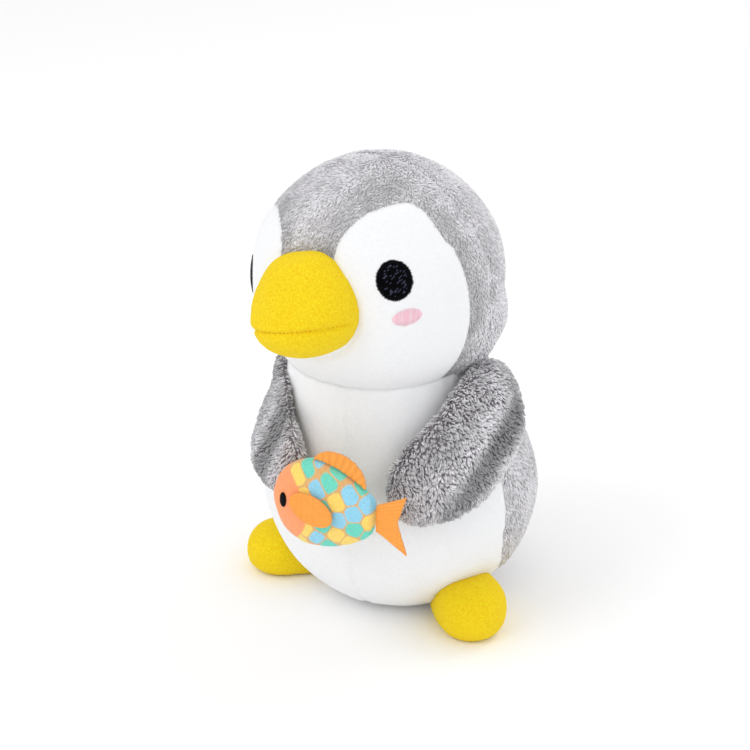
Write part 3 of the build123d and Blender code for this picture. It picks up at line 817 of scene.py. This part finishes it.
def fill_rows(a, b, border, pitch, turn, ragged, rng):
    """Where the threads that fill an oval start and end, in its plane; inside a border they are cut short."""
    c, s = cos(turn), sin(turn)
    in_a, in_b = a - border, b - border
    starts, ends = [], []
    for i, row in enumerate(np.arange(-max(a, b), max(a, b), pitch)):
        # where this row's line enters and leaves the oval
        qa = (c / in_a) ** 2 + (s / in_b) ** 2
        qb = 2 * row * (-s * c / in_a**2 + s * c / in_b**2)
        qc = row**2 * ((s / in_a) ** 2 + (c / in_b) ** 2) - 1
        root = qb * qb - 4 * qa * qc
        if root <= 0:
            continue
        lo, hi = (-qb - sqrt(root)) / (2 * qa), (-qb + sqrt(root)) / (2 * qa)
        lo, hi = lo * (1 + ragged * rng.uniform(-1, 1)), hi * (1 + ragged * rng.uniform(-1, 1))
        cuts = np.arange(lo + (i % 3) / 3 * STITCH_LENGTH, hi, STITCH_LENGTH) if border else np.array([])
        marks = np.concatenate([[lo], cuts[(cuts > lo + SHORTEST) & (cuts < hi - SHORTEST)], [hi]])
        for found, at in ((starts, marks[:-1]), (ends, marks[1:])):
            found += [(mark * c - row * s, mark * s + row * c) for mark in at]
    return np.array(starts).T, np.array(ends).T


def embroidered_oval(node, sign, width, height, up, sides, slant, turn, border, pitch, ragged, glints, seed,
                     materials, slot_name):
    """A padded oval of satin stitch: a low dome, rows of fill stitches and a border of short threads."""
    rng = np.random.default_rng(seed)
    side = sign * sides[sign]
    out = np.array([sin(side) * cos(up), -cos(side) * cos(up), sin(up)])
    across = np.array([cos(side), sin(side), 0])
    upward = np.cross(out, across)
    c, s = cos(sign * slant), sin(sign * slant)
    e1, e2 = across * c + upward * s, -across * s + upward * c
    a, b = width / 2, height / 2

    def at(u, v):
        return HEAD_R * out + np.multiply.outer(u, e1) + np.multiply.outer(v, e2)

    def lay(points, lift):
        local = points - HEAD_R * out
        q = np.clip(np.sqrt((local @ e1 / a) ** 2 + (local @ e2 / b) ** 2), 0, 1)
        return face_surface(points, lift + (DOME * (1 - q**3) - SUNK) + 0.05 * MM)

    t = np.linspace(0, 1, DOME_RINGS)[:, None]
    angle = turns_of(DOME_SPOKES)
    ground = 1 - 1.2 * ragged
    u, v = (a * ground * t * np.cos(angle)).ravel(), (b * ground * t * np.sin(angle)).ravel()
    dome = DOME * (1 - (t * np.ones(DOME_SPOKES)) ** 3).ravel() - SUNK
    points, faces = [face_surface(at(u, v), dome)], [grid_faces(DOME_RINGS, DOME_SPOKES, wrap=True)]
    index, start = [np.zeros(len(faces[0]))], len(points[0])
    threads = []
    if border:
        starts, ends = border_ring(a, b, border, pitch, ragged, rng)
        threads.append(stitches(at(*starts), at(*ends), pitch * BORDER_WIDTH, BORDER_HEIGHT, lay))
    starts, ends = fill_rows(a, b, border, pitch, sign * turn, ragged, rng)
    threads.append(stitches(at(*starts), at(*ends), pitch * FILL_WIDTH, FILL_HEIGHT, lay))
    for number, (thread_points, thread_faces) in enumerate(threads, 1):
        is_fill = number == len(threads)
        lit = 1 + is_fill * (rng.random(len(thread_faces)) < glints)
        index.append(np.repeat(lit, thread_faces.shape[1]))
        faces.append(thread_faces.reshape(-1, 4) + start)
        points.append(thread_points)
        start += len(thread_points)
    piece = new_piece(node + "_stitched", HEAD.out(np.concatenate(points)), [np.concatenate(faces)],
                      materials, np.concatenate(index))
    dress(piece, "head", (node,))


def build_embroidery():
    for name, sign in SIDES:
        embroidered_oval(f"eye_{name}", sign, **EYE)
        embroidered_oval(f"blush_{name}", sign, **BLUSH)


# ---- Padded parts made from their CAD fillings ----
SIM_SCALE, SIM_FRAMES, SIM_PRESSURE = 20, 20, 4  # the solver works on an enlarged copy, at furniture size
CALM = 6  # rounds of relaxing before the stuffing


def inflated(piece, cap):
    """Puff a closed mesh up as stuffed cloth; no point moves further than cap."""
    start, _ = arrays(piece)
    middle = start.mean(0)
    set_points(piece, (start - middle) * SIM_SCALE)
    cloth = piece.modifiers.new("stuffing", "CLOTH")
    cloth.settings.use_pressure = True
    cloth.settings.uniform_pressure_force = SIM_PRESSURE
    cloth.settings.effector_weights.gravity = 0
    cloth.point_cache.frame_end = SIM_FRAMES
    cloth.collision_settings.use_collision = False
    for number in range(1, SIM_FRAMES + 1):
        bpy.context.scene.frame_set(number)
    applied(piece)
    bpy.context.scene.frame_set(1)
    puffed, _ = arrays(piece)
    move = puffed / SIM_SCALE + middle - start
    size = np.linalg.norm(move, axis=1, keepdims=True)
    set_points(piece, start + move * cap / (cap + size))
    return piece


def stuffed(name, push, voxel, cap):
    """A cover around a CAD filling: an even mesh, calmed, puffed up and pushed out to the cover's surface."""
    piece = remeshed_copy(name, name + "_filling", voxel)
    relax(piece, CALM)
    inflated(piece, cap)
    finer = piece.modifiers.new("finer", "SUBSURF")
    finer.levels = 1
    applied(piece)
    points, normals = arrays(piece)
    set_points(piece, points + normals * push)
    return piece


TIP_DRAW, SHOULDER_SLIM = 2.5 * MM, 8.0 * MM
SLIM_ALONG = unit([0.85, 0.53, 0])
FOLD_DEPTH, FOLD_WIDTH = {"left": 2.3 * MM, "right": 1.8 * MM}, 4.0 * MM
SHOULDER, SHOULDER_AT = 0.35, 1.9  # height of a fold's raised sides, and how many widths off they are
# where the fold in each flipper runs, as shares of its box
FOLDS = {"left": ((0.92, 0.75, 0.66), (0.75, 0.22, 0.18)), "right": ((0.70, 0.20, 0.80), (0.50, 0.10, 0.18))}
# Painted shade: the flippers' pile is given a darker tone than the hood's, and the right flipper's, which
# lies in shade, is darker still.
FLIPPER_PILE_SHADED_TONE = {"left": 0.52, "right": 0.40}
FLIPPER_LUMP = 0.5 * MM


def fold_faces(start, end):
    """The direction a fold faces, away from the belly."""
    return unit((start + end) / 2 - BELLY_CORE)


def fold_share(points, start, end, width):
    """1 along a soft fold from start to end, a little under 0 on its shoulders, and 0 away from it."""
    along = end - start
    outward = fold_faces(start, end)
    across = (points - start) @ unit(np.cross(along, outward))
    share = (points - start) @ along / (along @ along)
    facing = smooth(unit(points - BELLY_CORE) @ outward, 0.5, 0.9)
    reach = smooth(share, -0.25, 0.1) * smooth(-share, -1.3, -0.85) * facing
    wave = groove(across, width)
    for off in (SHOULDER_AT * width, -SHOULDER_AT * width):
        wave = wave - SHOULDER * groove(across - off, width)
    return reach * wave


def shape_flipper(piece, side, low, high):
    """Draw the left flipper's tip out, and slim the right one's shoulder."""
    points, _ = arrays(piece)
    if side == "left":
        along = low - high
        share = (points - high) @ along / (along @ along)
        points += unit(along) * (TIP_DRAW * smooth(share, 0.45, 0.95))[:, None]
    else:
        share = (points[:, 2] - low[2]) / (high[2] - low[2])
        outer = smooth(-(points - (low + high) / 2) @ SLIM_ALONG, -4 * MM, 9 * MM)
        slim = smooth(share, 0.15, 0.65) * (1 - 0.45 * smooth(share, 0.70, 1.0))
        points += SLIM_ALONG * (SHOULDER_SLIM * slim * outer)[:, None]
    set_points(piece, points)


def build_flippers():
    for side, sign in SIDES:
        name = f"flipper_{side}"
        piece = stuffed(name, 1.5 * MM, 2.3 * MM, 1.7 * MM)
        # painted shade: dark cloth under the pile, for the shade between the locks
        piece.data.materials.append(GREY_ROOT_SHADE)
        low, high = [np.array(corner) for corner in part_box(f"{name}_outer")]
        start, end = [low + (high - low) * share for share in FOLDS[side]]
        shape_flipper(piece, side, low, high)
        points, normals = arrays(piece)
        pressed = FOLD_DEPTH[side] * fold_share(points, start, end, FOLD_WIDTH)
        pressed = pressed * smooth(normals @ fold_faces(start, end), 0.0, 0.5)
        move = FLIPPER_LUMP * lumps(points, 22 * MM, 61 + sign) - pressed
        set_points(piece, points + normals * move[:, None])
        nodes = [f"{name}_{kind}" for kind in ("outer", "inner", "filling")]
        dress(piece, name, nodes)
        # Painted shade: the pile is darker along the fold, and a little lighter on its raised sides.
        dress_in_pile(name, piece, name, WHOLE, 63 + sign, light=FLIPPER_PILE_SHADED_TONE[side],
                      lay=lambda p: DOWN + 0.35 * np.array([sign, 0.4, 0]),
                      shadow=lambda p: fold_share(p, start, end, 1.3 * FOLD_WIDTH), **FLIPPER_PILE)


# the left foot is stuffed a little higher, and pushed in under the belly
FOOT_RISE, FOOT_TUCK = {"left": 1.22, "right": 1.0}, {"left": 2.4 * MM, "right": 0.0}


def build_feet():
    for side, _ in SIDES:
        name = f"foot_{side}"
        piece = stuffed(name, 1.7 * MM, 2.1 * MM, 1.2 * MM)
        points, normals = arrays(piece)
        points = points + normals * (0.3 * MM * lumps(points, 18 * MM, 71))[:, None]
        points[:, 2] = np.maximum(points[:, 2] * FOOT_RISE[side], 0.1 * MM)
        points[:, 0] -= FOOT_TUCK[side]
        set_points(piece, points)
        piece.data.materials.append(YELLOW)
        nodes = [f"{name}_{kind}" for kind in ("top", "sole", "filling")]
        dress(piece, name, nodes)


# ---- Fish ----
FISH_OUT = np.array(JOINTS["fish_swing"]["axis"])
FISH_UP = np.array(JOINTS["tail_wag"]["axis"])
FISH_AT = np.array(JOINTS["fish_swing"]["pos_m"])
FISH = Local(FISH_AT, np.cross(FISH_UP, FISH_OUT), FISH_UP, FISH_OUT)
FISH_SKIN = FISH.into(cad_points("fish_outer_panel", "fish_inner_panel"))
FISH = Local(FISH.out([0, 0, (FISH_SKIN[:, 2].max() + FISH_SKIN[:, 2].min()) / 2]), *FISH.axes)
FISH_SKIN = FISH.into(cad_points("fish_outer_panel", "fish_inner_panel"))

SALMON, FELT_ORANGE, FIN_EDGE = (1.0, 0.33, 0.13), (1.0, 0.385, 0.08), (0.80, 0.33, 0.10)
BLUE, TEAL, SUN = (0.28, 0.63, 0.82), (0.15, 0.66, 0.52), (0.95, 0.66, 0.14)
SCALE_LINE = (0.74, 0.42, 0.16)
# scales by column from the head, and from the top of the flank down
SCALE_COLUMNS = (
    (SUN, SUN, SUN, SUN, SUN, SUN), (TEAL, BLUE, TEAL, TEAL, BLUE), (BLUE, TEAL, SUN, BLUE, SUN, TEAL),
    (TEAL, BLUE, BLUE, TEAL, SUN), (SUN, TEAL, BLUE, SUN, TEAL), (BLUE, TEAL, TEAL, BLUE, SUN),
)
SCALE_PITCH, SCALE_ROW, SCALE_R = 6.2 * MM, 7.2 * MM, 4.1 * MM
SCALE_FIRST_X, SCALE_TOP_Y = -2.6 * MM, 16.9 * MM
SCALE_LINE_WIDTH, SCALE_CORNER = 0.4 * MM, 0.9 * MM
SCALE_ARCH = 26.0  # per metre: how much the columns curve back above and below
HEAD_EDGE_X, HEAD_EDGE_Y, HEAD_ARCH = -3.2 * MM, 2 * MM, 35.0  # the curved edge of the orange head
NOSE_KEEP = 0.90  # share of its length that the nose end keeps
TAIL_ROUND = 1.6 * MM  # length over which the body closes at the tail
FISH_STATIONS, FISH_COLUMNS = 190, 260
FISH_SEAM, RIB_HEIGHT = 0.55 * MM, 0.08 * MM


def rounded_min(a, b):
    """The smaller of two distances, a little less where they are alike, which rounds a shape's corners."""
    alike = np.clip(1 - np.abs(a - b) / SCALE_CORNER, 0, 1)
    return np.minimum(a, b) - 0.25 * SCALE_CORNER * alike**2


def fish_print(p):
    """Colour of the fish's printed plush at points of its own frame: rounded scales between thin lines."""
    rng = np.random.default_rng(83)
    x, y = p[:, 0], p[:, 1]
    away, cloths = [], []
    for k, column in enumerate(SCALE_COLUMNS):
        for j, colour in enumerate(column):
            row = j - (0.5 if k % 2 == 0 else 0.0)
            cy = SCALE_TOP_Y - row * SCALE_ROW + rng.uniform(-0.5, 0.5) * MM
            arch = SCALE_ARCH * (cy + 1 * MM) ** 2
            cx = SCALE_FIRST_X + k * SCALE_PITCH - arch + rng.uniform(-0.4, 0.4) * MM
            away.append(np.hypot(x - cx, (y - cy) * 0.94))
            cloths.append(colour)
    away = np.stack(away, -1)
    fill = np.array(cloths)[away.argmin(1)]
    first, second, third = np.partition(away, 2, axis=1)[:, :3].T
    inner = rounded_min(rounded_min(second - first, third - first) / 2, SCALE_R - first)
    line = 1 - smooth(inner, SCALE_LINE_WIDTH * 0.25, SCALE_LINE_WIDTH * 0.75)[:, None]
    head = HEAD_EDGE_X - HEAD_ARCH * (y + HEAD_EDGE_Y) ** 2 - x
    share = smooth(head, -0.2 * MM, 0.2 * MM)[:, None]
    colours = fill * (1 - line) + np.array(SCALE_LINE) * line
    colours = colours * (1 - share) + np.array(SALMON) * share
    return np.clip(colours * rng.normal(1.0, 0.07, len(p))[:, None] + 0.02, 0, 1)


def nose_drawn_in(p):
    """The stuffed nose is blunter than the flat pattern: draw points of the head end in."""
    p = p.copy()
    p[:, 0] *= np.where(p[:, 0] < 0, NOSE_KEEP, 1)
    return p


def build_fish_body():
    tree = cad_surface(("fish_outer_panel", "fish_inner_panel"), FISH)
    nose, tail = FISH_SKIN[:, 0].min(), FISH_SKIN[:, 0].max()
    swing = np.cos(np.linspace(0.01, pi - 0.004, FISH_STATIONS))
    along = (nose + tail) / 2 - (tail - nose) / 2 * swing
    closing = np.sqrt(np.clip(1 - ((along - tail + TAIL_ROUND) / TAIL_ROUND) ** 2, 0, 1))
    closing[along < tail - TAIL_ROUND] = 1
    points = np.empty((FISH_STATIONS, FISH_COLUMNS, 3))
    for i, x in enumerate(along):
        radius = 0.2 * MM
        for k, angle in enumerate(turns_of(FISH_COLUMNS)):
            direction = Vector((0, cos(angle), sin(angle)))
            hit = tree.ray_cast(Vector((x, 0, 0)) + direction * 0.05, -direction)[0]
            if hit and hit.dot(direction) > 0:
                radius = hit.dot(direction)
            kept = radius * closing[i]
            points[i, k] = (x, direction.y * kept, direction.z * kept)
    points = nose_drawn_in(points.reshape(-1, 3))
    move = -FISH_SEAM * groove(points[:, 2], 1.3 * MM) + 0.25 * MM * lumps(points, 14 * MM, 81)
    move += 0.12 * MM * groove(points[:, 2], 3 * MM) * lumps(points, 4 * MM, 82)
    skin = FISH.out(points + unit(points * [0.35, 1, 1]) * move[:, None])
    body = new_piece("fish_body", skin, [grid_faces(FISH_STATIONS, FISH_COLUMNS, wrap=True)], [FISH_CLOTH])
    paint(body, "print", fish_print(points))
    dress(body, "fish", ("fish_outer_panel", "fish_inner_panel", "fish_filling"))


def felt_fin(name, node, body, root, rib_angle):
    """A fin of ribbed felt: its CAD outline with fine raised ribs that fan out from the root."""
    fin = remeshed_copy(name, node, 0.42 * MM)
    relax(fin, 3)
    points, normals = arrays(fin)
    flat = np.abs((normals @ FISH.axes.T)[:, 2])
    reach = FISH.into(points)[:, :2] - np.array(root)
    angle = np.arctan2(reach[:, 1], reach[:, 0])
    ribs = np.sin(angle * rib_angle + 0.6 * lumps(points, 8 * MM, 91))
    set_points(fin, points + normals * (ribs * RIB_HEIGHT * smooth(flat, 0.4, 0.9))[:, None])
    edge = 1 - smooth(flat, 0.25, 0.85)[:, None]
    # Painted shade: the felt is a little darker in the valleys between its ribs and lighter on their crests;
    # the rest of its tone varies at random.
    tone = 0.95 + 0.07 * ribs + 0.04 * lumps(points, 1.6 * MM, 92)
    colours = np.array(FELT_ORANGE) * tone[:, None] * (1 - edge) + np.array(FIN_EDGE) * edge
    fin.data.materials.append(FELT)
    paint(fin, "print", colours)
    dress(fin, body, (node,))


def build_fish():
    build_fish_body()
    felt_fin("fish_dorsal", "fish_dorsal_fin", "fish", (2 * MM, -6 * MM), 60)
    felt_fin("fish_tail", "fish_tail_fin", "fish_tail", (10 * MM, 0), 90)
    felt_fin("fish_pectoral", "fish_pectoral_fin", "fish_pectoral", (-20 * MM, 4 * MM), 110)
    eye = remeshed_copy("fish_eye_stitched", "fish_eye", 0.3 * MM)
    relax(eye, 4)
    set_points(eye, FISH.out(nose_drawn_in(FISH.into(arrays(eye)[0]))))
    eye.data.materials.append(BLACK_THREAD)
    dress(eye, "fish", ("fish_eye",))


# ---- Hidden parts that keep their CAD shape ----
def finish_hidden_parts():
    for node, material in (
        ("neck_filling", FIBRE), ("bean_bag", COTTON), ("bean_pellets", PELLETS), ("fish_tack", WHITE),
    ):
        for slot in bpy.data.objects[node].material_slots:
            slot.material = material


# ---- Camera, light and floor ----
VIEW_AZIMUTH, VIEW_ELEVATION, VIEW_DISTANCE = radians(32), radians(25), 0.8
VIEW_TARGET = Vector((0, 0, 0.090))
FRAME_WIDTH = 0.3099  # width of the picture at the target
SHIFT_X, SHIFT_Y = -0.0333, 0.0173  # of the picture, in its own width
SENSOR = 36
LIGHTS = (("key", (-0.35, -0.75, 0.95), 0.7, 2.7), ("fill", (0.95, -0.55, 0.6), 0.8, 0.9),
          ("rim", (0.4, 0.9, 0.9), 0.7, 2.2))        # name, place, width and power
SKY, FLOOR_WHITE, FLOOR_HALF = 0.90, 0.99, 3.0


def build_camera():
    camera = in_scene("camera", bpy.data.cameras.new("camera"))
    back = Vector((sin(VIEW_AZIMUTH) * cos(VIEW_ELEVATION),
                   -cos(VIEW_AZIMUTH) * cos(VIEW_ELEVATION), sin(VIEW_ELEVATION)))
    camera.location = VIEW_TARGET + back * VIEW_DISTANCE
    camera.rotation_mode = "QUATERNION"
    camera.rotation_quaternion = (-back).to_track_quat("-Z", "Y")
    camera.data.sensor_width = SENSOR
    camera.data.lens = SENSOR * VIEW_DISTANCE / FRAME_WIDTH
    camera.data.shift_x, camera.data.shift_y = SHIFT_X, SHIFT_Y
    bpy.context.scene.camera = camera


def soft_light(name, place, size, power):
    light = in_scene(name, bpy.data.lights.new(name, "AREA"))
    light.data.shape = "DISK"
    light.data.size = size
    light.data.energy = power
    light.location = place
    light.rotation_mode = "QUATERNION"
    light.rotation_quaternion = (VIEW_TARGET - Vector(place)).to_track_quat("-Z", "Y")


def build_studio():
    bpy.context.scene.view_settings.view_transform = "Standard"
    world = bpy.data.worlds.new("studio")
    bpy.context.scene.world = world
    world.use_nodes = True
    sky = world.node_tree.nodes["Background"]
    settle(sky, Color=(1, 1, 1, 1), Strength=SKY)
    for light in LIGHTS:
        soft_light(*light)
    floor_material = bpy.data.materials.new("floor")
    floor_material.use_nodes = True
    shader = floor_material.node_tree.nodes["Principled BSDF"]
    settle(shader, Base_Color=(FLOOR_WHITE, FLOOR_WHITE, FLOOR_WHITE, 1), Roughness=0.8)
    corners = np.array([[-1, -1, 0], [1, -1, 0], [1, 1, 0], [-1, 1, 0]]) * FLOOR_HALF
    floor = new_piece("floor", corners, [np.array([[0, 1, 2, 3]])], [floor_material])


build_camera()
build_studio()
build_torso()
build_head()
build_beak()
build_embroidery()
build_flippers()
build_feet()
build_fish()
finish_hidden_parts()
